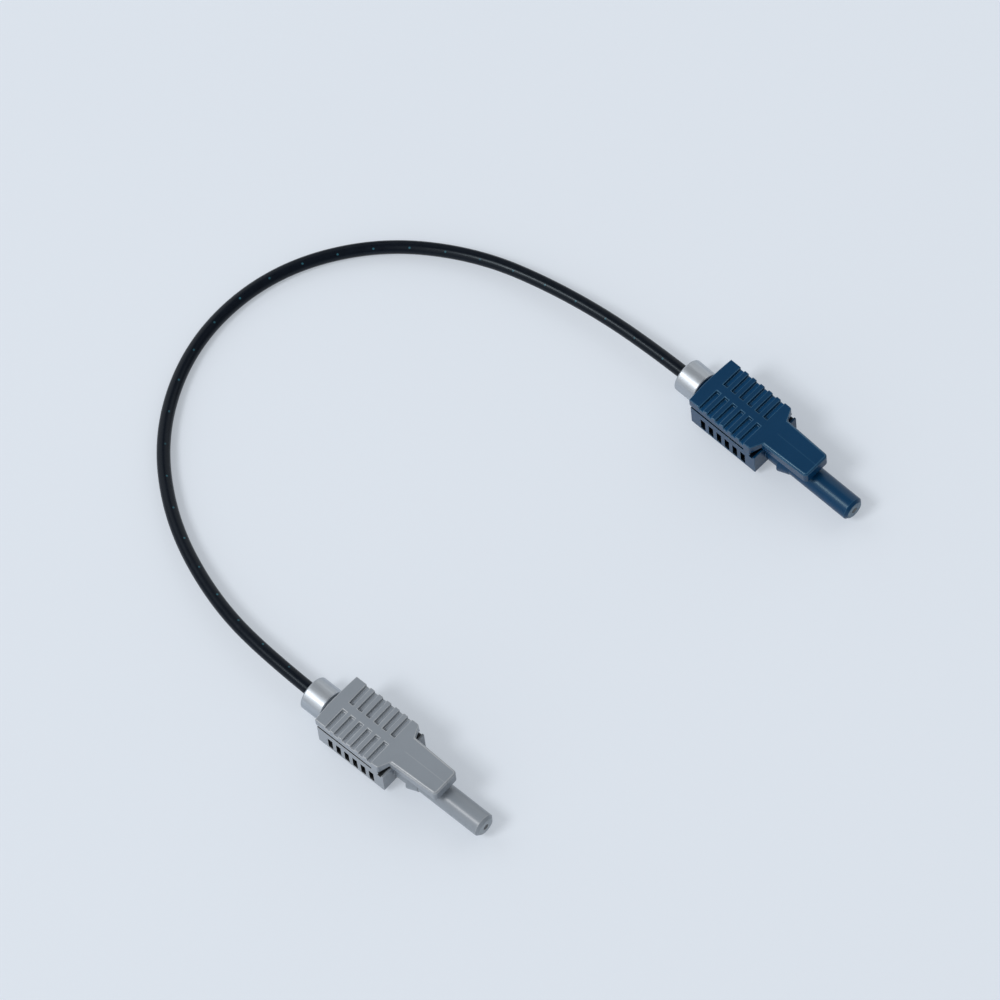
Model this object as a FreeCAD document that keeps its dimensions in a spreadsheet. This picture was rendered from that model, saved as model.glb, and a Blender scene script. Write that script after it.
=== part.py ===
import FreeCAD, Part
import math
import os
import Sketcher

# Simplex plastic optical fibre patch cord: one jacketed fibre with a latching connector on each end.
# Millimetres and degrees. Z is up, X is the way both connectors plug in, Y runs from the grey one
# to the blue one. The origin is on the table, midway between the two connectors.
# A connector's own frame has X along its ferrule, from the rear face of its housing.

SIZES = {
    # cord and fibre
    "jacket_diameter": 2.2,
    "fibre_diameter": 1.0,
    "jacket_depth": 2.2,
    "jacket_clearance": 0.03,
    "fibre_clearance": 0.02,
    # housing block
    "body_length": 13.6,
    "body_width": 9.6,
    "body_below_axis": 1.85,
    "body_above_axis": 2.6,
    "core_width": 3.8,
    # grip windows in both flanks
    "window_start": 2.05,
    "window_width": 0.97,
    "window_rib": 0.73,
    "window_top_rail": 1.45,
    "window_bottom_rail": 0.35,
    "window_front_wall": 1.8,
    "grille_wall": 0.4,
    # notch across the top, between the hinge web and the front wall
    "front_wall": 0.35,
    "notch_length": 0.8,
    "notch_depth": 0.6,
    # ferrule, snap barb and rear barrel
    "neck_diameter": 4.65,
    "neck_length": 2.7,
    "barb_diameter": 5.6,
    "barb_length": 1.8,
    "barb_front_step": 0.15,
    "ferrule_diameter": 4.0,
    "ferrule_length": 12.3,
    "tip_chamfer": 0.5,
    "core_diameter": 3.0,
    "barrel_inset": 0.3,
    # crimp ring
    "ring_diameter": 5.8,
    "ring_length": 4.1,
    "ring_wall": 0.5,
    "ring_gap": 1.5,
    "ring_chamfer": 0.15,
    "ring_rear_round": 0.3,
    "ring_clearance": 0.02,
    # latch lever
    "lever_width": 9.6,
    "lever_thickness": 1.8,
    "lever_clearance": 0.4,
    "lever_overhang": 0.15,
    "rear_bow": 0.2,
    "rear_relief": 0.4,
    "shoulder_sweep": 0.95,
    "shoulder_relief": 0.65,
    "shoulder_corner_radius": 0.4,
    "tongue_root_width": 5.7,
    "tongue_tip_width": 5.1,
    "tongue_length": 9.0,
    "tongue_tip_drop": 0.4,
    "tongue_corner_radius": 0.7,
    "tongue_bevel": 0.25,
    # grip grooves on the lever
    "groove_start": 1.95,
    "groove_width": 0.85,
    "groove_land": 0.86,
    "groove_depth": 0.7,
    "groove_front_land": 0.9,
    "spine_width": 1.46,
    # hinge web between lever and housing
    "hinge_setback": 1.59,
    "knuckle_radius": 0.7,
    "hinge_clearance": 0.04,
    # where the two connectors lie
    "connector_spacing": 78.92,
    "grey_x": -15.51,
    "grey_yaw": 1.12,
    "blue_x": -9.27,
    "blue_yaw": -1.12,
    # cord route
    "cord_lead": 13.0,
    "arc_share": 0.45,
}

# Distances worked out from the sizes, each along X or Z of a connector's own frame
DERIVED = {
    "hinge_x": "body_length - hinge_setback",
    "underside_z": "barb_diameter / 2 + lever_clearance",
    "hinge_z": "(body_above_axis + underside_z) / 2",
    "lever_top_z": "underside_z + lever_thickness",
    "lever_rear_x": "-lever_overhang - rear_bow",
    "bow_radius": "lever_width * lever_width / (8 * rear_bow) + rear_bow / 2",
    "shoulder_x": "hinge_x + knuckle_radius",
    "root_x": "shoulder_x + shoulder_sweep",
    "tongue_end_x": "root_x + tongue_length",
    "notch_end": "body_length - front_wall",
    "barb_x": "body_length + neck_length",
    "ferrule_x": "barb_x + barb_length",
    "tip_x": "ferrule_x + ferrule_length",
    "barrel_end": "ring_gap + ring_length - barrel_inset",
    "barrel_radius": "ring_diameter / 2 - ring_wall - ring_clearance",
    "ring_facet": "ring_rear_round * (1 - sqrt(0.5))",
    "groove_pitch": "groove_width + groove_land",
    "groove_room": "shoulder_x - groove_front_land - groove_width - groove_start",
    "groove_count": "floor(groove_room / groove_pitch) + 1",
    "window_pitch": "window_width + window_rib",
    "window_room": "body_length - window_front_wall - window_width - window_start",
    "window_count": "floor(window_room / window_pitch) + 1",
    "window_end": "window_start + window_pitch * (window_count - 1) + window_width",
    "window_floor_z": "window_bottom_rail - body_below_axis",
    "window_top_z": "body_above_axis - window_top_rail",
    "axis_height": "max(ring_diameter; barb_diameter) / 2",
    "grey_y": "-connector_spacing / 2",
    "blue_y": "connector_spacing / 2",
}

# Turning points of the cord between its two straight leads, from the blue end to the grey one
CORD_BENDS = [
    (-39.5, 38.2, 2.35),
    (-55.3, 34.3, 1.6),
    (-69.0, 25.1, 1.2),
    (-77.7, 10.8, 1.15),
    (-78.7, -5.7, 1.15),
    (-72.0, -20.8, 1.2),
    (-59.6, -31.7, 1.5),
    (-43.8, -38.0, 2.2),
]

# Points nearer than this are one point
TOUCH = 1e-4

doc = FreeCAD.newDocument("fibre_patch_cord")
sheet = doc.addObject("Spreadsheet::Sheet", "sizes")


def fill_sheet():
    row = 1
    for alias, number in SIZES.items():
        sheet.set("A%d" % row, alias)
        sheet.set("B%d" % row, str(number))
        sheet.setAlias("B%d" % row, alias)
        row += 1
    for alias, formula in DERIVED.items():
        sheet.set("A%d" % row, alias)
        sheet.set("B%d" % row, "=" + formula)
        sheet.setAlias("B%d" % row, alias)
        row += 1
    doc.recompute()


def size(alias):
    return float(sheet.get(alias))


def new_body(label):
    body = doc.addObject("PartDesign::Body", label)
    body.Label = label
    return body


def origin_feature(body, role):
    return next(feature for feature in body.Origin.OriginFeatures if feature.Role == role)


def new_sketch(body, name, plane, offset=None):
    sketch = body.newObject("Sketcher::SketchObject", name)
    sketch.AttachmentSupport = [(origin_feature(body, plane), "")]
    sketch.MapMode = "FlatFace"
    if offset:
        sketch.setExpression("AttachmentOffset.Base.z", offset)
    return sketch


def pin_point(sketch, geometry, point, corner):
    # hold one point of a sketch at its two distances from the sketch's origin
    for kind, formula in zip(("DistanceX", "DistanceY"), corner):
        value = float(sketch.evalExpression(formula))
        index = sketch.addConstraint(Sketcher.Constraint(kind, -1, 1, geometry, point, value))
        sketch.setExpression("Constraints[%d]" % index, formula)


def add_polygon(sketch, corners):
    values = []
    for across, along in corners:
        values.append(FreeCAD.Vector(sketch.evalExpression(across), sketch.evalExpression(along), 0))
    first = sketch.GeometryCount
    count = len(corners)
    for i in range(count):
        sketch.addGeometry(Part.LineSegment(values[i], values[(i + 1) % count]), False)
    for i in range(count):
        following = first + (i + 1) % count
        sketch.addConstraint(Sketcher.Constraint("Coincident", first + i, 2, following, 1))
    for i in range(count):
        pin_point(sketch, first + i, 1, corners[i])


def add_circle(sketch, centre, radius):
    middle = FreeCAD.Vector(sketch.evalExpression(centre[0]), sketch.evalExpression(centre[1]), 0)
    value = float(sketch.evalExpression(radius))
    circle = sketch.addGeometry(Part.Circle(middle, FreeCAD.Vector(0, 0, 1), value), False)
    pin_point(sketch, circle, 3, centre)
    index = sketch.addConstraint(Sketcher.Constraint("Radius", circle, value))
    sketch.setExpression("Constraints[%d]" % index, radius)


def extrude(body, kind, sketch, length, symmetric=False, reverse=False):
    feature = body.newObject("PartDesign::" + kind, sketch.Name + "_" + kind.lower())
    feature.Profile = sketch
    feature.setExpression("Length", length)
    feature.Reversed = reverse
    if symmetric:
        feature.SideType = "Symmetric"
    doc.recompute()
    return feature


def revolve(body, kind, sketch):
    feature = body.newObject("PartDesign::" + kind, sketch.Name + "_" + kind.lower())
    feature.Profile = sketch
    feature.ReferenceAxis = (origin_feature(body, "X_Axis"), [""])
    feature.Angle = 360
    doc.recompute()
    return feature


def repeat_along_x(body, feature, pitch, count):
    pattern = body.newObject("PartDesign::LinearPattern", feature.Name + "_row")
    pattern.Originals = [feature]
    pattern.Direction = (origin_feature(body, "X_Axis"), [""])
    pattern.setExpression("Length", "%s * (%s - 1)" % (pitch, count))
    pattern.setExpression("Occurrences", count)
    body.Tip = pattern
    doc.recompute()
    return pattern


def edge_names(feature, wanted):
    # names of the edges whose points all pass the test
    names = []
    for number, edge in enumerate(feature.Shape.Edges, 1):
        points = [vertex.Point for vertex in edge.Vertexes]
        if all(wanted(point) for point in points):
            names.append("Edge%d" % number)
    return names


def corner_edges(feature, x, half_width):
    # names of the upright edges at this distance along X, on both sides
    def at_corner(point):
        return abs(point.x - x) < TOUCH and abs(abs(point.y) - half_width) < TOUCH

    names = []
    for name in edge_names(feature, at_corner):
        first, last = [vertex.Point for vertex in feature.Shape.getElement(name).Vertexes]
        if abs(first.z - last.z) > abs(first.y - last.y):
            names.append(name)
    return names


def dress(body, kind, name, base, edges, measure, alias):
    # round or bevel the named edges by one size
    feature = body.newObject("PartDesign::" + kind, name)
    feature.Base = (base, edges)
    feature.setExpression(measure, "sizes." + alias)
    doc.recompute()
    return feature


def place(obj, side):
    # stand a connector piece on the table at its connector's place and heading
    obj.Placement = FreeCAD.Placement(FreeCAD.Vector(), FreeCAD.Rotation(FreeCAD.Vector(0, 0, 1), 1))
    obj.setExpression("Placement.Base.x", "sizes.%s_x" % side)
    obj.setExpression("Placement.Base.y", "sizes.%s_y" % side)
    obj.setExpression("Placement.Base.z", "sizes.axis_height")
    obj.setExpression("Placement.Rotation.Angle", "sizes.%s_yaw * 1 deg" % side)


def make_housing(side):
    body = new_body(side + "_housing")

    # side view of the block, with the notch behind its front wall
    notch_floor = "sizes.body_above_axis - sizes.notch_depth"
    block = new_sketch(body, side + "_block", "XZ_Plane")
    add_polygon(block, [
        ("0", "-sizes.body_below_axis"),
        ("sizes.body_length", "-sizes.body_below_axis"),
        ("sizes.body_length", "sizes.body_above_axis"),
        ("sizes.notch_end", "sizes.body_above_axis"),
        ("sizes.notch_end", notch_floor),
        ("sizes.notch_end - sizes.notch_length", notch_floor),
        ("sizes.notch_end - sizes.notch_length", "sizes.body_above_axis"),
        ("0", "sizes.body_above_axis"),
    ])
    extrude(body, "Pad", block, "sizes.body_width", symmetric=True)

    # turned parts: rear barrel, core, neck, snap barb and ferrule
    turned = new_sketch(body, side + "_turned", "XZ_Plane")
    add_polygon(turned, [
        ("-sizes.barrel_end", "0"),
        ("-sizes.barrel_end", "sizes.barrel_radius"),
        ("0", "sizes.barrel_radius"),
        ("0", "sizes.core_diameter / 2"),
        ("sizes.body_length", "sizes.core_diameter / 2"),
        ("sizes.body_length", "sizes.neck_diameter / 2"),
        ("sizes.barb_x", "sizes.neck_diameter / 2"),
        ("sizes.barb_x", "sizes.barb_diameter / 2"),
        ("sizes.ferrule_x", "sizes.ferrule_diameter / 2 + sizes.barb_front_step"),
        ("sizes.ferrule_x", "sizes.ferrule_diameter / 2"),
        ("sizes.tip_x - sizes.tip_chamfer", "sizes.ferrule_diameter / 2"),
        ("sizes.tip_x", "sizes.ferrule_diameter / 2 - sizes.tip_chamfer"),
        ("sizes.tip_x", "0"),
    ])
    revolve(body, "Revolution", turned)

    # stepped bore: the jacket stops at the step and the bare fibre goes on to the tip
    bore = new_sketch(body, side + "_bore", "XZ_Plane")
    add_polygon(bore, [
        ("-sizes.barrel_end - sizes.ring_gap", "0"),
        ("-sizes.barrel_end - sizes.ring_gap", "sizes.jacket_diameter / 2 + sizes.jacket_clearance"),
        ("sizes.jacket_depth", "sizes.jacket_diameter / 2 + sizes.jacket_clearance"),
        ("sizes.jacket_depth", "sizes.fibre_diameter / 2 + sizes.fibre_clearance"),
        ("sizes.tip_x + sizes.tip_chamfer", "sizes.fibre_diameter / 2 + sizes.fibre_clearance"),
        ("sizes.tip_x + sizes.tip_chamfer", "0"),
    ])
    revolve(body, "Groove", bore)

    # round seat for the lever's knuckle
    seat = new_sketch(body, side + "_seat", "XZ_Plane")
    add_circle(seat, ("sizes.hinge_x", "sizes.hinge_z"), "sizes.knuckle_radius + sizes.hinge_clearance")
    extrude(body, "Pocket", seat, "2 * sizes.body_width", symmetric=True)

    # grip windows, cut from both flanks to the core
    for flank, offset, reverse in (("near", "sizes.body_width / 2", False),
                                   ("far", "-sizes.body_width / 2", True)):
        window = new_sketch(body, "%s_%s_window" % (side, flank), "XZ_Plane", offset)
        add_polygon(window, [
            ("sizes.window_start", "sizes.window_floor_z"),
            ("sizes.window_start + sizes.window_width", "sizes.window_floor_z"),
            ("sizes.window_start + sizes.window_width", "sizes.window_top_z"),
            ("sizes.window_start", "sizes.window_top_z"),
        ])
        cut = extrude(body, "Pocket", window, "(sizes.body_width - sizes.core_width) / 2", reverse=reverse)
        repeat_along_x(body, cut, "sizes.window_pitch", "sizes.window_count")

    # hollow on each side of the core, which leaves the ribs as a thin grille
    hollow = new_sketch(body, side + "_hollow", "XY_Plane", "sizes.window_floor_z")
    for sign in ("", "-"):
        grille_y = sign + "(sizes.body_width / 2 - sizes.grille_wall)"
        add_polygon(hollow, [
            ("sizes.window_start", sign + "sizes.core_width / 2"),
            ("sizes.window_end", sign + "sizes.core_width / 2"),
            ("sizes.window_end", grille_y),
            ("sizes.window_start", grille_y),
        ])
    extrude(body, "Pocket", hollow, "sizes.window_top_z - sizes.window_floor_z", reverse=True)

    place(body, side)
    return body


def make_lever(side):
    body = new_body(side + "_lever")

    # side view: flat pad cut away under its rear end, then a tongue that thickens towards its end
    blank = new_sketch(body, side + "_blank", "XZ_Plane")
    add_polygon(blank, [
        ("sizes.lever_rear_x + sizes.rear_relief", "sizes.underside_z"),
        ("sizes.root_x", "sizes.underside_z"),
        ("sizes.tongue_end_x", "sizes.underside_z - sizes.tongue_tip_drop"),
        ("sizes.tongue_end_x", "sizes.lever_top_z"),
        ("sizes.lever_rear_x", "sizes.lever_top_z"),
        ("sizes.lever_rear_x", "sizes.underside_z + sizes.rear_relief"),
    ])
    extrude(body, "Pad", blank, "sizes.lever_width", symmetric=True)

    # the rear edge bows outwards along a wide circle, and all outside the circle goes
    bow = new_sketch(body, side + "_bow", "XY_Plane", "sizes.lever_top_z")
    reach = "(sizes.bow_radius + sizes.lever_width)"
    bow_centre = "sizes.lever_rear_x + sizes.bow_radius"
    add_polygon(bow, [
        ("%s - %s" % (bow_centre, reach), "-" + reach),
        ("%s + %s" % (bow_centre, reach), "-" + reach),
        ("%s + %s" % (bow_centre, reach), reach),
        ("%s - %s" % (bow_centre, reach), reach),
    ])
    add_circle(bow, (bow_centre, "0"), "sizes.bow_radius")
    extrude(body, "Pocket", bow, "2 * sizes.lever_top_z")

    # notches beside the tongue leave the swept shoulders
    notches = new_sketch(body, side + "_notches", "XY_Plane", "sizes.lever_top_z")
    for sign in ("", "-"):
        add_polygon(notches, [
            ("sizes.shoulder_x", sign + "sizes.lever_width / 2"),
            ("sizes.root_x", sign + "sizes.tongue_root_width / 2"),
            ("sizes.tongue_end_x", sign + "sizes.tongue_tip_width / 2"),
            ("sizes.tongue_end_x", sign + "sizes.lever_width / 2"),
        ])
    notch = extrude(body, "Pocket", notches, "2 * sizes.lever_top_z")

    # rounded corners, and a bevelled rim on the tongue
    outer = corner_edges(notch, size("shoulder_x"), size("lever_width") / 2)
    shoulders = dress(body, "Fillet", side + "_shoulder_corners", notch, outer,
                      "Radius", "shoulder_corner_radius")
    tips = corner_edges(shoulders, size("tongue_end_x"), size("tongue_tip_width") / 2)
    rounded = dress(body, "Fillet", side + "_tongue_corners", shoulders, tips,
                    "Radius", "tongue_corner_radius")
    root_x = size("root_x")
    top_z = size("lever_top_z")
    rim = edge_names(rounded, lambda p: abs(p.z - top_z) < TOUCH and p.x > root_x - TOUCH)
    dress(body, "Chamfer", side + "_tongue_bevel", rounded, rim, "Size", "tongue_bevel")

    # the swept shoulders thin towards the tongue's root
    relief = new_sketch(body, side + "_relief", "YZ_Plane", "sizes.shoulder_x")
    for sign in ("", "-"):
        add_polygon(relief, [
            (sign + "sizes.lever_width / 2", "sizes.underside_z"),
            (sign + "sizes.lever_width / 2", "sizes.underside_z - sizes.shoulder_relief"),
            (sign + "sizes.tongue_root_width / 2", "sizes.underside_z - sizes.shoulder_relief"),
            (sign + "sizes.tongue_root_width / 2", "sizes.underside_z + sizes.shoulder_relief"),
        ])
    extrude(body, "Pocket", relief, "2 * sizes.shoulder_sweep", reverse=True)

    # round knuckle that rocks in the housing's seat
    knuckle = new_sketch(body, side + "_knuckle", "XZ_Plane")
    add_circle(knuckle, ("sizes.hinge_x", "sizes.hinge_z"), "sizes.knuckle_radius")
    extrude(body, "Pad", knuckle, "sizes.lever_width", symmetric=True)

    # two rows of grip grooves, open to the flanks, with a spine between them
    for row, sign in (("left", ""), ("right", "-")):
        groove = new_sketch(body, "%s_%s_groove" % (side, row), "XY_Plane", "sizes.lever_top_z")
        add_polygon(groove, [
            ("sizes.groove_start", sign + "sizes.spine_width / 2"),
            ("sizes.groove_start + sizes.groove_width", sign + "sizes.spine_width / 2"),
            ("sizes.groove_start + sizes.groove_width", sign + "sizes.lever_width"),
            ("sizes.groove_start", sign + "sizes.lever_width"),
        ])
        cut = extrude(body, "Pocket", groove, "sizes.groove_depth")
        repeat_along_x(body, cut, "sizes.groove_pitch", "sizes.groove_count")

    place(body, side)
    return body


def make_ring(side):
    body = new_body(side + "_crimp_ring")

    # a short tube, its drawn rear edge rounded in two facets
    section = new_sketch(body, side + "_ring_section", "XZ_Plane")
    rear = "-sizes.ring_gap - sizes.ring_length"
    inner = "sizes.ring_diameter / 2 - sizes.ring_wall"
    outer = "sizes.ring_diameter / 2"
    add_polygon(section, [
        (rear, inner),
        ("-sizes.ring_gap", inner),
        ("-sizes.ring_gap", outer + " - sizes.ring_chamfer"),
        ("-sizes.ring_gap - sizes.ring_chamfer", outer),
        (rear + " + sizes.ring_rear_round", outer),
        (rear + " + sizes.ring_facet", outer + " - sizes.ring_facet"),
        (rear, outer + " - sizes.ring_rear_round"),
    ])
    revolve(body, "Revolution", section)
    place(body, side)
    return body


def make_fibre_end(side):
    body = new_body(side + "_fibre_end")
    section = new_sketch(body, side + "_fibre_section", "YZ_Plane", "sizes.jacket_depth")
    add_circle(section, ("0", "0"), "sizes.fibre_diameter / 2")
    extrude(body, "Pad", section, "sizes.tip_x - sizes.jacket_depth")
    place(body, side)
    return body


def lead_point(side, distance):
    # point on a connector's axis, in the part's frame
    yaw = math.radians(size(side + "_yaw"))
    across = size(side + "_x") + distance * math.cos(yaw)
    along = size(side + "_y") + distance * math.sin(yaw)
    return FreeCAD.Vector(across, along, size("axis_height"))


def make_cord():
    inner = size("jacket_depth")
    outer = -size("cord_lead")
    points = [lead_point("blue", inner), lead_point("blue", outer)]
    points += [FreeCAD.Vector(*bend) for bend in CORD_BENDS]
    points += [lead_point("grey", outer), lead_point("grey", inner)]

    # straight runs joined by tangent arcs, each as large as its two runs allow
    edges = []
    start = points[0]
    for before, corner, after in zip(points, points[1:], points[2:]):
        inward = before.sub(corner)
        onward = after.sub(corner)
        trim = size("arc_share") * min(inward.Length, onward.Length)
        turn = math.pi - inward.getAngle(onward)
        radius = trim / math.tan(turn / 2)
        inward.normalize()
        onward.normalize()
        entry = corner.add(inward * trim)
        leave = corner.add(onward * trim)
        bisector = inward.add(onward)
        bisector.normalize()
        middle = corner.add(bisector * (radius / math.cos(turn / 2) - radius))
        edges.append(Part.LineSegment(start, entry).toShape())
        edges.append(Part.Arc(entry, middle, leave).toShape())
        print("cord bend radius %.1f" % radius)
        start = leave
    edges.append(Part.LineSegment(start, points[-1]).toShape())
    path = Part.Wire(edges)

    section = Part.Circle(points[0], points[1].sub(points[0]), size("jacket_diameter") / 2)
    ring = Part.Wire([section.toShape()])
    solid = path.makePipeShell([ring], True, False)
    expected = math.pi * size("jacket_diameter") ** 2 / 4 * path.Length
    print("cord length %.2f, volume %.3f, section times length %.3f" % (path.Length, solid.Volume, expected))
    cord = doc.addObject("Part::Feature", "fibre_cord")
    cord.Label = "fibre_cord"
    cord.Shape = solid
    return cord


fill_sheet()
pieces = []
for connector in ("grey", "blue"):
    pieces.append(make_housing(connector))
    pieces.append(make_lever(connector))
    pieces.append(make_ring(connector))
    pieces.append(make_fibre_end(connector))
pieces.append(make_cord())
doc.recompute()

for obj in doc.Objects:
    if "Invalid" in obj.State or "Error" in obj.State:
        raise RuntimeError(obj.Label + " failed to build")
for piece in pieces:
    if piece.Shape.isNull() or not piece.Shape.isValid():
        raise RuntimeError(piece.Label + " has no valid shape")

os.makedirs("parts", exist_ok=True)
for piece in pieces:
    piece.Shape.exportStep("parts/%s.step" % piece.Label)
    print(piece.Label, "volume %.2f" % piece.Shape.Volume, piece.Shape.BoundBox)
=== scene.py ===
import math

import bmesh
import bpy
import numpy as np
from mathutils import Matrix, Vector


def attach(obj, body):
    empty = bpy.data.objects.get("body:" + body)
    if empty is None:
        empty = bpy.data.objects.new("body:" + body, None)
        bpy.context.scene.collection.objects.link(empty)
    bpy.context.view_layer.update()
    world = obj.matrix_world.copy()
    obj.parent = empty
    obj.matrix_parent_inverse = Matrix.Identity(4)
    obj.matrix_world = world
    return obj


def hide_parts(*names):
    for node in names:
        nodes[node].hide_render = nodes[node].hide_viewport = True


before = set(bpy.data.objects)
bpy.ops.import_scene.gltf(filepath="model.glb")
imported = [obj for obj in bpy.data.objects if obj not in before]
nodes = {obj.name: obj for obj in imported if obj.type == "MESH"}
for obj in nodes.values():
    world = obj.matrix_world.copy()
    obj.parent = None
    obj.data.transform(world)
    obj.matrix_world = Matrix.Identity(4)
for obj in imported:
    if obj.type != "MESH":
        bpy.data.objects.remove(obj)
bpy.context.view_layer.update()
print("frame loaded:", ", ".join(sorted(nodes)))

# camera

shot = {
    "position": (0.47495, -0.4217, 1.2420),
    "aim": (-0.02253, 0.0046, 0.0012),
    "rollDegrees": -7.506,   # the picture leans anticlockwise
    "lens": 323.5,
    "sensor": 36,            # millimetres, as is the lens
    "clip": (0.05, 20),
}


def aimCamera(settings):
    # a rolled view: the level right and up directions turned about the line of sight
    position = Vector(settings["position"])
    forward = (Vector(settings["aim"]) - position).normalized()
    levelRight = forward.cross(Vector((0, 0, 1))).normalized()
    levelUp = levelRight.cross(forward)
    roll = math.radians(settings["rollDegrees"])
    right = levelRight * math.cos(roll) + levelUp * math.sin(roll)
    up = levelUp * math.cos(roll) - levelRight * math.sin(roll)
    camera = bpy.data.cameras.new("shotCamera")
    camera.lens = settings["lens"]
    camera.sensor_width = settings["sensor"]
    camera.clip_start, camera.clip_end = settings["clip"]
    holder = bpy.data.objects.new("shotCamera", camera)
    turn = Matrix((right, up, -forward)).transposed()
    holder.matrix_world = Matrix.Translation(position) @ turn.to_4x4()
    bpy.context.collection.objects.link(holder)
    bpy.context.scene.camera = holder


aimCamera(shot)
print("camera set")

# node helpers


def addNode(tree, kind, **values):
    # attributes by name, then socket values from the dictionary "sockets"
    node = tree.nodes.new(kind)
    sockets = values.pop("sockets", {})
    for name, value in values.items():
        setattr(node, name, value)
    for socket, value in sockets.items():
        node.inputs[socket].default_value = value
    return node


def feedSocket(tree, socket, value):
    # a number or colour is set on the socket, anything else is linked to it
    if isinstance(value, (int, float, tuple)):
        socket.default_value = value
    else:
        tree.links.new(value, socket)


def newMaterial(name):
    material = bpy.data.materials.new(name)
    material.use_nodes = True
    tree = material.node_tree
    tree.nodes.clear()
    shader = tree.nodes.new("ShaderNodeBsdfPrincipled")
    output = tree.nodes.new("ShaderNodeOutputMaterial")
    tree.links.new(shader.outputs["BSDF"], output.inputs["Surface"])
    return material, tree, shader


def newGroup(name, inputs, outputs):
    group = bpy.data.node_groups.new(name, "ShaderNodeTree")
    for label, kind, value in inputs:
        socket = group.interface.new_socket(name=label, in_out="INPUT", socket_type=kind)
        if value is not None:
            socket.default_value = value
    for label, kind in outputs:
        group.interface.new_socket(name=label, in_out="OUTPUT", socket_type=kind)
    source = group.nodes.new("NodeGroupInput")
    target = group.nodes.new("NodeGroupOutput")
    return group, source, target


def mathNode(tree, operation, first, second=None, clamp=False):
    node = addNode(tree, "ShaderNodeMath", operation=operation, use_clamp=clamp)
    feedSocket(tree, node.inputs[0], first)
    if second is not None:
        feedSocket(tree, node.inputs[1], second)
    return node.outputs[0]


def mixColour(tree, factor, first, second):
    # a Mix node's colours are its inputs 6 and 7 and its output 2
    node = addNode(tree, "ShaderNodeMix", data_type="RGBA")
    for index, value in ((0, factor), (6, first), (7, second)):
        feedSocket(tree, node.inputs[index], value)
    return node.outputs[2]


def rangeNode(tree, value, low, high, newLow, newHigh, smooth=False):
    # low to high becomes newLow to newHigh, and what lies beyond is held at the ends
    node = addNode(
        tree, "ShaderNodeMapRange",
        interpolation_type="SMOOTHSTEP" if smooth else "LINEAR",
        sockets={"From Min": low, "From Max": high, "To Min": newLow, "To Max": newHigh})
    tree.links.new(value, node.inputs["Value"])
    return node.outputs["Result"]


def withinNode(tree, mask, limits):
    # the mask, kept only where each value lies between its low and its high
    for value, (low, high) in limits:
        mask = mathNode(tree, "MULTIPLY", mask, mathNode(tree, "GREATER_THAN", value, low))
        mask = mathNode(tree, "MULTIPLY", mask, mathNode(tree, "LESS_THAN", value, high))
    return mask


def noiseNode(tree, vector, scale, detail, roughness):
    node = addNode(tree, "ShaderNodeTexNoise", sockets={
        "Scale": scale, "Detail": detail, "Roughness": roughness})
    tree.links.new(vector, node.inputs["Vector"])
    return node.outputs["Fac"]


def stretchNode(tree, vector, scale):
    node = addNode(tree, "ShaderNodeMapping", sockets={"Scale": scale})
    tree.links.new(vector, node.inputs["Vector"])
    return node.outputs["Vector"]


def splitNode(tree, vector):
    node = addNode(tree, "ShaderNodeSeparateXYZ")
    tree.links.new(vector, node.inputs[0])
    return [node.outputs[axis] for axis in "XYZ"]


def objectPlace(tree):
    return addNode(tree, "ShaderNodeTexCoord").outputs["Object"]


def coverShader(tree, shader, colour, roughness, height, strength, distance):
    # colour, roughness and a bumped height go to the shader
    bump = addNode(tree, "ShaderNodeBump", sockets={"Strength": strength, "Distance": distance})
    tree.links.new(height, bump.inputs["Height"])
    tree.links.new(colour, shader.inputs["Base Color"])
    tree.links.new(roughness, shader.inputs["Roughness"])
    tree.links.new(bump.outputs["Normal"], shader.inputs["Normal"])


# Noises below are given as scale, detail and roughness, with the scale per metre on Object
# coordinates. Ranges are given as low, high, new low and new high.

# each connector's own frame: X along the ferrule from the rear face of the housing,
# Z up from the fibre's axis

connectorPlace = {
    "grey": {"at": (-0.01551, -0.03946, 0.0029), "yawDegrees": 1.12},
    "blue": {"at": (-0.00927, 0.03946, 0.0029), "yawDegrees": -1.12},
}


def connectorFrame(tree, side):
    place = connectorPlace[side]
    turn = addNode(tree, "ShaderNodeMapping", vector_type="TEXTURE", sockets={
        "Location": place["at"], "Rotation": (0, 0, math.radians(place["yawDegrees"]))})
    tree.links.new(objectPlace(tree), turn.inputs["Vector"])
    return turn.outputs["Vector"]


# moulded plastic

mouldedFinish = {
    "clouds": (260, 3.0, 0.6),
    "grain": (5200, 2.0, 0.5),     # a fine spark-eroded mould face
    "specks": (4200, 2.0, 0.6),
    "grainDepth": 0.0001,
    "roughDrift": 0.6,             # how far the roughness follows the clouds
    # edges: a lighter colour on the softened edges, partly wear and partly painted highlight
    "wornAndLit": (0.3, 0.6, 0.55, 1.0),
    "wornAndLitShare": 0.75,           # on the softened edges
    # centre line of the tongue, which starts in front of the grip grooves
    "lineFrom": 0.0140,
    "lineFade": 0.0005,
    "lineHalf": 0.00009,
    "lineCore": 0.4,               # share of the half width that is at full strength
    "lineAbove": 0.0035,
    "lineShare": 0.22,
    "lineHeight": 1.5,
    # the cut end of the ferrule
    "tipFrom": 0.03036,
    "tipSpecks": (0.36, 0.58, 0.15, 1.0),
    # floors of the grip grooves, made lighter there as painted light: reach along, reach up,
    # distance from the middle where they end
    "grooveFloor": ((0.00180, 0.01180), (0.00424, 0.00434), 0.00468),
    # painted shade in unlit places: reach along, reach up, distance from the middle where the dark
    # begins and where it is full, strength
    "windowHollow": ((0.00200, 0.01160), (-0.00152, 0.00120), (0.00480, 0.00474), 0.92),
    "leverSlit": ((-0.00100, 0.01130), (0.00252, 0.00328), (0.00480, 0.00475), 0.92),
    "hingeNotch": ((0.01240, 0.01328), (0.00195, 0.00330), (0.00477, 0.00470), 0.85),
    "unlit": (0.004, 0.004, 0.004, 1),
}


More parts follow.
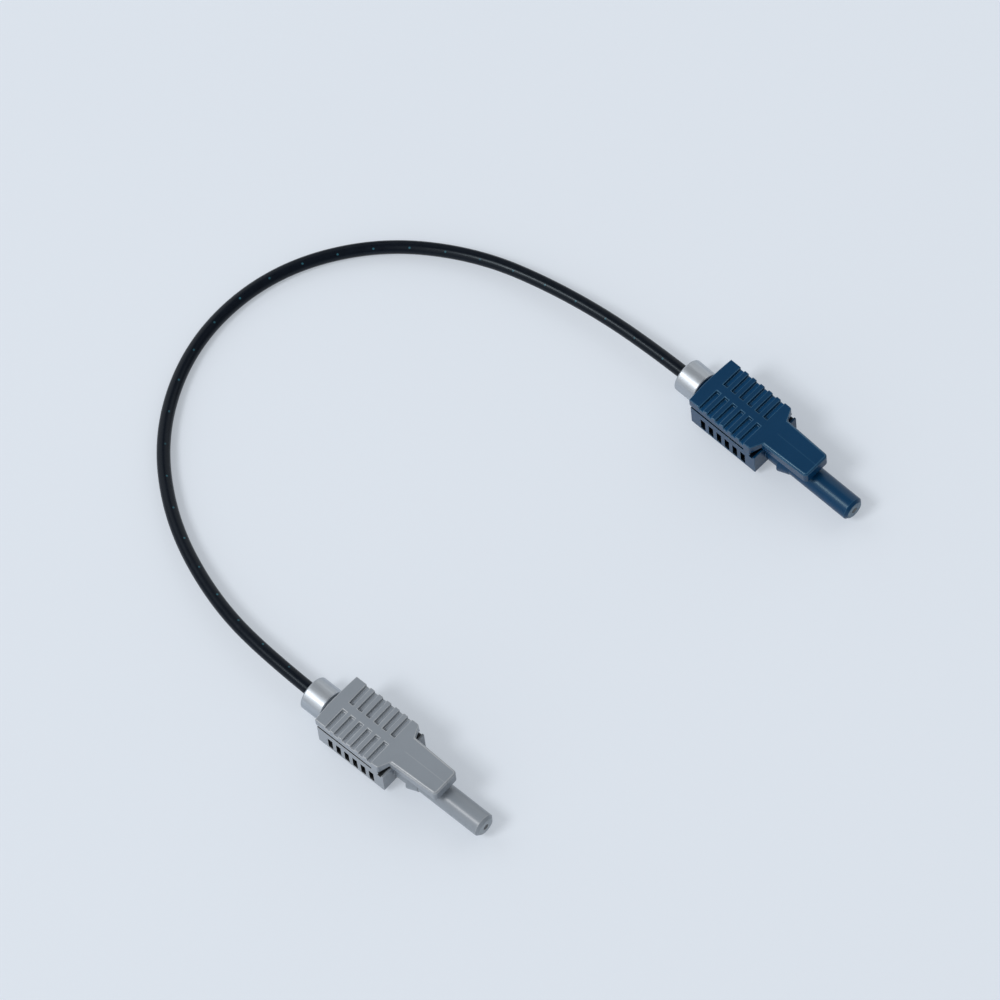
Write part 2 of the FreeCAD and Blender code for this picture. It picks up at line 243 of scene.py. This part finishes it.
def makeMouldedSkin(finish):
    # moulded face: colour and roughness drift in soft clouds and a fine grain lifts the surface;
    # painted light makes the groove floors lighter by Groove Painted Light, a faint raised line runs
    # down the middle of the lever's tongue, and the ferrule's cut end is pale and speckled; painted
    # shade darkens the hollow behind the grip windows, the slit under the lever and the notch beside
    # its hinge, and Edge Share pulls the colour towards the lighter edge colour in uneven patches,
    # partly wear and partly painted highlight
    group, source, target = newGroup(
        "mouldedSkin",
        [("Place", "NodeSocketVector", None),
         ("Base", "NodeSocketColor", (0.3, 0.3, 0.3, 1)),
         ("Edge Colour", "NodeSocketColor", (0.5, 0.5, 0.5, 1)),
         ("Tip Colour", "NodeSocketColor", (0.5, 0.5, 0.5, 1)),
         ("Mottle", "NodeSocketFloat", 0.1),
         ("Groove Painted Light", "NodeSocketFloat", 0.0),
         ("Edge Share", "NodeSocketFloat", 0.0),
         ("Roughness", "NodeSocketFloat", 0.45)],
        [("Colour", "NodeSocketColor"),
         ("Roughness", "NodeSocketFloat"),
         ("Height", "NodeSocketFloat")],
    )
    given = source.outputs
    place = given["Place"]
    along, across, above = splitNode(group, place)
    fromMiddle = mathNode(group, "ABSOLUTE", across)
    clouds = noiseNode(group, place, *finish["clouds"])
    grain = noiseNode(group, place, *finish["grain"])
    specks = noiseNode(group, place, *finish["specks"])

    # base colour times (1 + drift + painted light on the groove floors)
    drift = mathNode(group, "MULTIPLY", mathNode(group, "SUBTRACT", clouds, 0.5), given["Mottle"])
    run, rise, reach = finish["grooveFloor"]
    grooveFloor = mathNode(group, "LESS_THAN", fromMiddle, reach)
    grooveFloor = withinNode(group, grooveFloor, ((along, run), (above, rise)))
    lift = mathNode(group, "MULTIPLY", grooveFloor, given["Groove Painted Light"])
    tint = mathNode(group, "ADD", mathNode(group, "ADD", drift, 1.0), lift)
    tinted = addNode(group, "ShaderNodeVectorMath", operation="SCALE")
    group.links.new(given["Base"], tinted.inputs[0])
    group.links.new(tint, tinted.inputs["Scale"])

    # centre line, and edges made lighter as wear and painted highlight
    half, start = finish["lineHalf"], finish["lineFrom"]
    line = rangeNode(group, fromMiddle, half, half * finish["lineCore"], 0.0, 1.0, smooth=True)
    begun = rangeNode(group, along, start, start + finish["lineFade"], 0.0, 1.0)
    line = mathNode(group, "MULTIPLY", line, begun)
    onTop = mathNode(group, "GREATER_THAN", above, finish["lineAbove"])
    line = mathNode(group, "MULTIPLY", line, onTop)
    wornAndLit = rangeNode(group, clouds, *finish["wornAndLit"])
    share = mathNode(group, "MULTIPLY", wornAndLit, given["Edge Share"])
    lineShare = mathNode(group, "MULTIPLY", line, finish["lineShare"])
    share = mathNode(group, "ADD", share, lineShare, clamp=True)
    colour = mixColour(group, share, tinted.outputs[0], given["Edge Colour"])

    # ferrule tip and unlit places
    tip = mathNode(group, "GREATER_THAN", along, finish["tipFrom"])
    tipSpecks = rangeNode(group, specks, *finish["tipSpecks"], smooth=True)
    tipShare = mathNode(group, "MULTIPLY", tip, tipSpecks)
    colour = mixColour(group, tipShare, colour, given["Tip Colour"])
    # painted shade: the window hollows, the lever slit and the hinge notch are darkened towards the
    # unlit colour
    for space in ("windowHollow", "leverSlit", "hingeNotch"):
        run, rise, deep, strength = finish[space]
        dark = rangeNode(group, fromMiddle, *deep, 0.0, strength)
        dark = withinNode(group, dark, ((along, run), (above, rise)))
        colour = mixColour(group, dark, colour, finish["unlit"])

    roughDrift = mathNode(group, "MULTIPLY", drift, finish["roughDrift"])
    rough = mathNode(group, "ADD", given["Roughness"], roughDrift)
    lineHeight = mathNode(group, "MULTIPLY", line, finish["lineHeight"])
    height = mathNode(group, "ADD", grain, lineHeight)
    group.links.new(colour, target.inputs["Colour"])
    group.links.new(rough, target.inputs["Roughness"])
    group.links.new(height, target.inputs["Height"])
    return group


mouldedSkin = makeMouldedSkin(mouldedFinish)

greyPlastic = {
    "base": (0.247, 0.277, 0.314, 1),
    # edge: the lighter colour of the edge rounds, partly wear and partly painted highlight
    "edge": (0.47, 0.49, 0.51, 1),
    "tip": (0.30, 0.34, 0.37, 1),
    "mottle": 0.10,
    # painted light: how much lighter the groove floors are made
    "groovePaintedLight": 0.17,
    "roughness": 0.30,
    "specular": 0.5,
    "gloss": (1, 1, 1, 1),
    "bump": 0.05,
}
bluePlastic = {
    "base": (0.0006, 0.0335, 0.096, 1),
    # edge: the lighter colour of the edge rounds, partly wear and partly painted highlight
    "edge": (0.04, 0.12, 0.21, 1),
    "tip": (0.12, 0.18, 0.23, 1),
    "mottle": 0.16,
    # painted light: how much lighter the groove floors are made
    "groovePaintedLight": 0.55,
    "roughness": 0.30,
    "specular": 0.33,
    "gloss": (0.72, 0.96, 1, 1),   # the pigment tints the sheen
    "bump": 0.05,
}


def makePlastic(name, side, look, edgeShare):
    material, tree, shader = newMaterial(name)
    skin = addNode(tree, "ShaderNodeGroup", node_tree=mouldedSkin, sockets={
        "Base": look["base"], "Edge Colour": look["edge"], "Tip Colour": look["tip"],
        "Mottle": look["mottle"], "Groove Painted Light": look["groovePaintedLight"],
        "Edge Share": edgeShare, "Roughness": look["roughness"]})
    tree.links.new(connectorFrame(tree, side), skin.inputs["Place"])
    coverShader(tree, shader, skin.outputs["Colour"], skin.outputs["Roughness"],
                skin.outputs["Height"], look["bump"], mouldedFinish["grainDepth"])
    shader.inputs["Specular IOR Level"].default_value = look["specular"]
    shader.inputs["Specular Tint"].default_value = look["gloss"]
    return material


# crimp metal

crimpFinish = {
    "base": (0.49, 0.525, 0.565, 1),
    "dull": (0.327, 0.357, 0.393, 1),
    "stretch": (0.08, 1.0, 1.0),   # draws the noise out into streaks along the ring
    "streaks": (1500, 4.0, 0.65),
    "clouds": (500, 2.0, 0.5),
    "dullShare": (0.35, 0.75, 0.0, 0.6),
    "streakRoughness": (0.3, 0.7, 0.37, 0.47),
    "cloudRoughness": (0.3, 0.7, 0.0, 0.05),
    "bump": 0.16,
    "streakDepth": 0.00005,
}


def makeCrimpMetal(finish):
    # drawn tube: fine streaks along the axis change colour, roughness and height together
    material, tree, shader = newMaterial("crimpMetal")
    place = objectPlace(tree)
    streaks = noiseNode(tree, stretchNode(tree, place, finish["stretch"]), *finish["streaks"])
    clouds = noiseNode(tree, place, *finish["clouds"])
    dullShare = rangeNode(tree, streaks, *finish["dullShare"])
    colour = mixColour(tree, dullShare, finish["base"], finish["dull"])
    rough = mathNode(tree, "ADD", rangeNode(tree, streaks, *finish["streakRoughness"]),
                     rangeNode(tree, clouds, *finish["cloudRoughness"]))
    coverShader(tree, shader, colour, rough, streaks, finish["bump"], finish["streakDepth"])
    shader.inputs["Metallic"].default_value = 1.0
    return material


# fibre core

fibreFinish = {
    "base": (0.012, 0.014, 0.016, 1),
    "haze": (0.06, 0.065, 0.07, 1),
    "lapping": (3000, 3.0, 0.6),
    "hazeShare": (0.45, 0.8, 0.0, 0.6),
    "hazeRoughness": (0.3, 0.8, 0.06, 0.2),
    "specular": 0.2,
}


def makeFibreCore(finish):
    # polished acrylic end: clear and dark, with faint haze from the lapping film
    material, tree, shader = newMaterial("fibreCore")
    lapping = noiseNode(tree, objectPlace(tree), *finish["lapping"])
    hazeShare = rangeNode(tree, lapping, *finish["hazeShare"])
    colour = mixColour(tree, hazeShare, finish["base"], finish["haze"])
    rough = rangeNode(tree, lapping, *finish["hazeRoughness"])
    tree.links.new(colour, shader.inputs["Base Color"])
    tree.links.new(rough, shader.inputs["Roughness"])
    shader.inputs["Specular IOR Level"].default_value = finish["specular"]
    return material


# connector pieces with softened edges

softEdge = {
    # width of the round, and the height above which edges get it
    "lever": {"width": 0.00012, "above": 0.0070},     # from just under the groove floors up
    "housing": {"width": 0.00004, "above": 0.0},
    "ring": {"width": 0.00010, "above": 0.0},
    "segments": 2,
    "sharpDegrees": 35,
    "flatDegrees": 0.5,        # faces that turn by less are joined
    "mergeDistance": 1e-7,
    "faceWeight": 90,
}


def softenEdges(nodeName, pieceName, finish, body, materials):
    # a merged copy of the CAD mesh, with a small round along its sharp edges above a height
    mesh = bpy.data.meshes.new(pieceName)
    work = bmesh.new()
    work.from_mesh(nodes[nodeName].data)
    bmesh.ops.remove_doubles(work, verts=work.verts, dist=softEdge["mergeDistance"])
    bmesh.ops.dissolve_limit(work, angle_limit=math.radians(softEdge["flatDegrees"]),
                             verts=work.verts, edges=work.edges)
    sharp = math.radians(softEdge["sharpDegrees"])
    weight = work.edges.layers.float.new("bevel_weight_edge")
    for edge in work.edges:
        isSharp = len(edge.link_faces) == 2 and edge.calc_face_angle() > sharp
        if isSharp and min(vertex.co.z for vertex in edge.verts) > finish["above"]:
            edge[weight] = 1.0
    work.to_mesh(mesh)
    work.free()
    for layer in ("custom_normal", "sharp_face", "sharp_edge"):
        if layer in mesh.attributes:
            mesh.attributes.remove(mesh.attributes[layer])
    mesh.materials.clear()
    for material in materials:
        mesh.materials.append(material)
    faceCount = len(mesh.polygons)
    mesh.polygons.foreach_set("material_index", np.zeros(faceCount, dtype=np.int32))
    mesh.polygons.foreach_set("use_smooth", np.ones(faceCount, dtype=bool))
    mesh.set_sharp_from_angle(angle=sharp)
    mesh.update()
    piece = bpy.data.objects.new(pieceName, mesh)
    bpy.context.collection.objects.link(piece)
    bevel = piece.modifiers.new("softEdge", "BEVEL")
    bevel.width = finish["width"]
    bevel.segments = softEdge["segments"]
    bevel.limit_method = "WEIGHT"
    bevel.use_clamp_overlap = False
    bevel.loop_slide = False
    bevel.material = len(materials) - 1   # the rounds take the last material
    # large faces keep their own normals and the small rounds between them take up the turn
    shading = piece.modifiers.new("evenShading", "WEIGHTED_NORMAL")
    shading.mode = "FACE_AREA"
    shading.weight = softEdge["faceWeight"]
    shading.keep_sharp = True
    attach(piece, body)
    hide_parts(nodeName)


crimpMetal = makeCrimpMetal(crimpFinish)
fibreCore = makeFibreCore(fibreFinish)
for side, look in (("grey", greyPlastic), ("blue", bluePlastic)):
    # the second material colours the edge rounds lighter: partly wear, partly painted highlight
    skins = [makePlastic(side + "Plastic", side, look, 0.0),
             makePlastic(side + "Edges", side, look, mouldedFinish["wornAndLitShare"])]
    softenEdges(side + "_housing", side + "HousingSkin", softEdge["housing"],
                "cord_set", skins)
    softenEdges(side + "_lever", side + "LeverSkin", softEdge["lever"],
                side + "_lever", skins)
    softenEdges(side + "_crimp_ring", side + "RingSkin", softEdge["ring"],
                "cord_set", [crimpMetal])
    fibreEnd = nodes[side + "_fibre_end"].data
    fibreEnd.materials.clear()
    fibreEnd.materials.append(fibreCore)
print("connectors done")

# cord

cordShape = {
    "diameter": 0.0022,
    "length": 0.17775,
    "exit": (-0.014869, 0.039570, 0.0029),   # behind the blue crimp ring
    "around": 32,
    "steps": 420,
    "resolution": 32,
    "order": 3,
    # route in metres, from inside the blue connector to inside the grey one
    "route": [
        (-0.0070704, 0.0394170, 0.0029),
        (-0.0222675, 0.0397141, 0.0029),
        (-0.0395, 0.0382, 0.00235),
        (-0.0553, 0.0343, 0.0016),
        (-0.0690, 0.0251, 0.0012),
        (-0.0777, 0.0108, 0.00115),
        (-0.0787, -0.0057, 0.00115),
        (-0.0720, -0.0208, 0.0012),
        (-0.0596, -0.0317, 0.0015),
        (-0.0438, -0.0380, 0.0022),
        (-0.0285075, -0.0397141, 0.0029),
        (-0.0133104, -0.0394170, 0.0029),
    ],
}


def splineLine(points, resolution, order):
    # the smooth line of a NURBS spline with these control points
    curve = bpy.data.curves.new("cordLine", "CURVE")
    curve.dimensions = "3D"
    curve.resolution_u = resolution
    spline = curve.splines.new("NURBS")
    spline.points.add(len(points) - 1)
    weighted = np.ones((len(points), 4))
    weighted[:, :3] = points
    spline.points.foreach_set("co", weighted.ravel())
    spline.order_u = order
    spline.use_endpoint_u = True
    holder = bpy.data.objects.new("cordLine", curve)
    bpy.context.collection.objects.link(holder)
    bpy.context.view_layer.update()
    drawn = holder.evaluated_get(bpy.context.evaluated_depsgraph_get())
    mesh = bpy.data.meshes.new_from_object(drawn)
    line = np.empty(len(mesh.vertices) * 3)
    mesh.vertices.foreach_get("co", line)
    bpy.data.meshes.remove(mesh)
    bpy.data.objects.remove(holder)
    bpy.data.curves.remove(curve)
    return line.reshape(-1, 3)


def tubeMesh(name, line, radius, steps, around):
    # a circle carried along the line: point = centre + radius (sin a side - cos a up),
    # with a = 0 at the bottom
    travel = np.concatenate(([0], np.cumsum(np.linalg.norm(np.diff(line, axis=0), axis=1))))
    reach = np.linspace(0, 1, steps + 1) * travel[-1]
    centre = np.stack([np.interp(reach, travel, line[:, axis]) for axis in range(3)], axis=1)
    tangent = np.gradient(centre, axis=0)
    tangent /= np.linalg.norm(tangent, axis=1)[:, None]
    side = np.cross(tangent, (0, 0, 1))
    side /= np.linalg.norm(side, axis=1)[:, None]
    up = np.cross(side, tangent)
    angle = np.linspace(0, 2 * np.pi, around, endpoint=False)[None, :, None]
    ring = -np.cos(angle) * up[:, None, :] + np.sin(angle) * side[:, None, :]
    grid = (centre[:, None, :] + radius * ring).reshape(-1, 3)
    points = np.concatenate((grid, centre[:1], centre[-1:]))

    # four-sided faces along the tube and a fan of triangles over each end
    row, column = np.meshgrid(np.arange(steps), np.arange(around), indexing="ij")
    ahead = (column + 1) % around
    quads = np.stack((row * around + column, row * around + ahead,
                      (row + 1) * around + ahead, (row + 1) * around + column), axis=-1)
    spin = np.arange(around)
    turned = (spin + 1) % around
    startFan = np.stack((turned, spin, np.full(around, len(grid))), axis=1)
    endFan = np.stack((steps * around + spin, steps * around + turned,
                       np.full(around, len(grid) + 1)), axis=1)
    faces = quads.reshape(-1, 4).tolist() + startFan.tolist() + endFan.tolist()
    mesh = bpy.data.meshes.new(name)
    mesh.from_pydata(points.tolist(), [], faces)

    # U is the share of the length and V the share of the way round
    u = np.stack((row, row, row + 1, row + 1), axis=-1).reshape(-1) / steps
    v = np.stack((column, column + 1, column + 1, column), axis=-1).reshape(-1) / around
    fan = np.stack((turned, spin, spin), axis=1).reshape(-1) / around
    uv = np.concatenate((np.stack((u, v), axis=1),
                         np.stack((np.zeros(3 * around), fan), axis=1),
                         np.stack((np.ones(3 * around), fan), axis=1)))
    layer = mesh.uv_layers.new(name="cordUv")
    layer.data.foreach_set("uv", uv.astype(np.float32).ravel())
    mesh.polygons.foreach_set("use_smooth", np.ones(len(mesh.polygons), dtype=bool))
    mesh.validate()
    mesh.update()
    return mesh, centre, travel[-1]


cordFinish = {
    "base": (0.0006, 0.0022, 0.0066, 1),
    "pale": (0.0022, 0.0045, 0.0105, 1),
    "ink": (0.030, 0.125, 0.165, 1),
    "specular": 0.22,
    "gloss": (0.80, 0.92, 1, 1),   # a cold sheen on the black
    "lineStretch": (3.0, 1.0, 1.0),
    "lines": (34, 3.0, 0.6),       # on the UV map
    "scuffs": (900, 4.0, 0.6),
    "paleShare": (0.4, 0.75, 0.0, 0.7),
    "lineRoughness": (0.3, 0.7, 0.25, 0.31),
    "scuffRoughness": (0.4, 0.8, 0.0, 0.06),
    "bump": 0.1,
    "lineDepth": 0.00005,
    "dotSpacing": 0.00586,
    "dotStart": 0.00042,           # from the blue end to the first dot's place
    "dotRadius": 0.00021,
    "dotCore": 0.7,                # share of the radius that is at full strength
    "dotWear": (0.35, 0.65, 0.3, 1.0),
    "dotRows": (0.595, 0.553),     # share of the way round, near the blue end and past the bend
    "dotBend": (0.40, 0.46),       # share of the length where the row moves over
}


def inkDots(tree, place, length, radius, finish):
    # spots at even steps: the distance from a spot's middle is the root of the sum of the
    # squares of the way along the cord and the way round it
    lengthShare, roundShare = splitNode(tree, place)[:2]
    spacing, dotRadius = finish["dotSpacing"], finish["dotRadius"]
    along = mathNode(tree, "MULTIPLY", lengthShare, length)
    fromFirst = mathNode(tree, "SUBTRACT", along, finish["dotStart"] - spacing / 2)
    step = mathNode(tree, "FRACT", mathNode(tree, "DIVIDE", fromFirst, spacing))
    lengthwise = mathNode(tree, "MULTIPLY", mathNode(tree, "SUBTRACT", step, 0.5), spacing)
    row = rangeNode(tree, lengthShare, *finish["dotBend"], *finish["dotRows"], smooth=True)
    turn = mathNode(tree, "SUBTRACT", roundShare, row)
    crosswise = mathNode(tree, "MULTIPLY", turn, 2 * math.pi * radius)
    squares = [mathNode(tree, "POWER", way, 2.0) for way in (lengthwise, crosswise)]
    distance = mathNode(tree, "SQRT", mathNode(tree, "ADD", *squares))
    return rangeNode(tree, distance, dotRadius, dotRadius * finish["dotCore"], 0.0, 1.0, smooth=True)


def makeCordJacket(length, radius, finish):
    # extruded sheath: faint lines along the length, soft scuffs, and a row of worn ink dots
    material, tree, shader = newMaterial("cordJacket")
    place = addNode(tree, "ShaderNodeUVMap", uv_map="cordUv").outputs["UV"]
    lines = noiseNode(tree, stretchNode(tree, place, finish["lineStretch"]), *finish["lines"])
    scuffs = noiseNode(tree, objectPlace(tree), *finish["scuffs"])
    dot = inkDots(tree, place, length, radius, finish)
    worn = mathNode(tree, "MULTIPLY", dot, rangeNode(tree, scuffs, *finish["dotWear"]))
    paleShare = rangeNode(tree, scuffs, *finish["paleShare"])
    jacket = mixColour(tree, paleShare, finish["base"], finish["pale"])
    colour = mixColour(tree, worn, jacket, finish["ink"])
    rough = mathNode(tree, "ADD", rangeNode(tree, lines, *finish["lineRoughness"]),
                     rangeNode(tree, scuffs, *finish["scuffRoughness"]))
    coverShader(tree, shader, colour, rough, lines, finish["bump"], finish["lineDepth"])
    shader.inputs["Specular IOR Level"].default_value = finish["specular"]
    shader.inputs["Specular Tint"].default_value = finish["gloss"]
    return material


cordRadius = cordShape["diameter"] / 2
cordLine = splineLine(cordShape["route"], cordShape["resolution"], cordShape["order"])
cordMesh, cordPath, cordTravel = tubeMesh(
    "cordJacket", cordLine, cordRadius, cordShape["steps"], cordShape["around"])
cord = bpy.data.objects.new("cordJacket", cordMesh)
bpy.context.collection.objects.link(cord)
cordMesh.materials.append(makeCordJacket(cordTravel, cordRadius, cordFinish))
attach(cord, "cord_set")
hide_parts("fibre_cord")
print("cord done, %.1f mm" % (cordTravel * 1000))

# floor and light

floorLook = {
    "size": 8.0,
    "colour": (0.80, 0.855, 0.93, 1),
    "drift": (0.775, 0.83, 0.905, 1),
    "clouds": (9, 2.0, 0.5),
    "driftShare": (0.3, 0.7, 0.0, 0.5),
    "roughness": 0.7,
    "specular": 0.2,
    "seen": (0.725, 0.78, 0.85, 1),   # how the open floor looks, also in metal and through glass
    "seenShare": 0.42,
}


def makeFloor(look):
    half = look["size"] / 2
    corners = [(-half, -half, 0), (half, -half, 0), (half, half, 0), (-half, half, 0)]
    mesh = bpy.data.meshes.new("paleFloor")
    mesh.from_pydata(corners, [], [(0, 1, 2, 3)])
    floor = bpy.data.objects.new("paleFloor", mesh)
    bpy.context.collection.objects.link(floor)
    material, tree, shader = newMaterial("paleFloor")
    clouds = noiseNode(tree, objectPlace(tree), *look["clouds"])
    driftShare = rangeNode(tree, clouds, *look["driftShare"])
    shade = mixColour(tree, driftShare, look["colour"], look["drift"])
    tree.links.new(shade, shader.inputs["Base Color"])
    shader.inputs["Roughness"].default_value = look["roughness"]
    shader.inputs["Specular IOR Level"].default_value = look["specular"]
    # the lit floor mixed with an even tone, which keeps its shadows light
    ray = addNode(tree, "ShaderNodeLightPath").outputs
    seen = ray["Is Camera Ray"]
    for kind in ("Is Glossy Ray", "Is Transmission Ray"):
        seen = mathNode(tree, "ADD", seen, ray[kind], clamp=True)
    even = addNode(tree, "ShaderNodeEmission", sockets={"Color": look["seen"], "Strength": 1.0})
    blend = addNode(tree, "ShaderNodeMixShader")
    tree.links.new(mathNode(tree, "MULTIPLY", seen, look["seenShare"]), blend.inputs[0])
    tree.links.new(shader.outputs["BSDF"], blend.inputs[1])
    tree.links.new(even.outputs["Emission"], blend.inputs[2])
    tree.links.new(blend.outputs["Shader"], tree.nodes["Material Output"].inputs["Surface"])
    mesh.materials.append(material)


lamps = [
    # name, place, size and watts
    ("keySoftbox", (-0.80, -2.40, 3.10), 1.2, 66.0),
    ("nearPanel", (0.0, -2.90, 1.65), 3.0, 22.0),
    ("farPanel", (0.0, 2.90, 1.65), 3.4, 26.0),
    ("rearPanel", (-2.90, 0.0, 1.65), 3.4, 30.0),
]
roomLight = {"colour": (0.95, 0.98, 1.0, 1), "strength": 0.31}


def addLamp(name, place, size, watts):
    # a square panel that faces the origin
    lamp = bpy.data.lights.new(name, "AREA")
    lamp.shape = "SQUARE"
    lamp.size = size
    lamp.energy = watts
    holder = bpy.data.objects.new(name, lamp)
    position = Vector(place)
    aim = (-position).to_track_quat("-Z", "Y")
    holder.matrix_world = Matrix.Translation(position) @ aim.to_matrix().to_4x4()
    bpy.context.collection.objects.link(holder)


def lightRoom(look):
    world = bpy.data.worlds.new("softRoom")
    bpy.context.scene.world = world
    world.use_nodes = True
    background = world.node_tree.nodes.get("Background")
    background.inputs["Color"].default_value = look["colour"]
    background.inputs["Strength"].default_value = look["strength"]


makeFloor(floorLook)
for lampRow in lamps:
    addLamp(*lampRow)
lightRoom(roomLight)
bpy.context.scene.view_settings.view_transform = "Standard"
print("floor and light done")
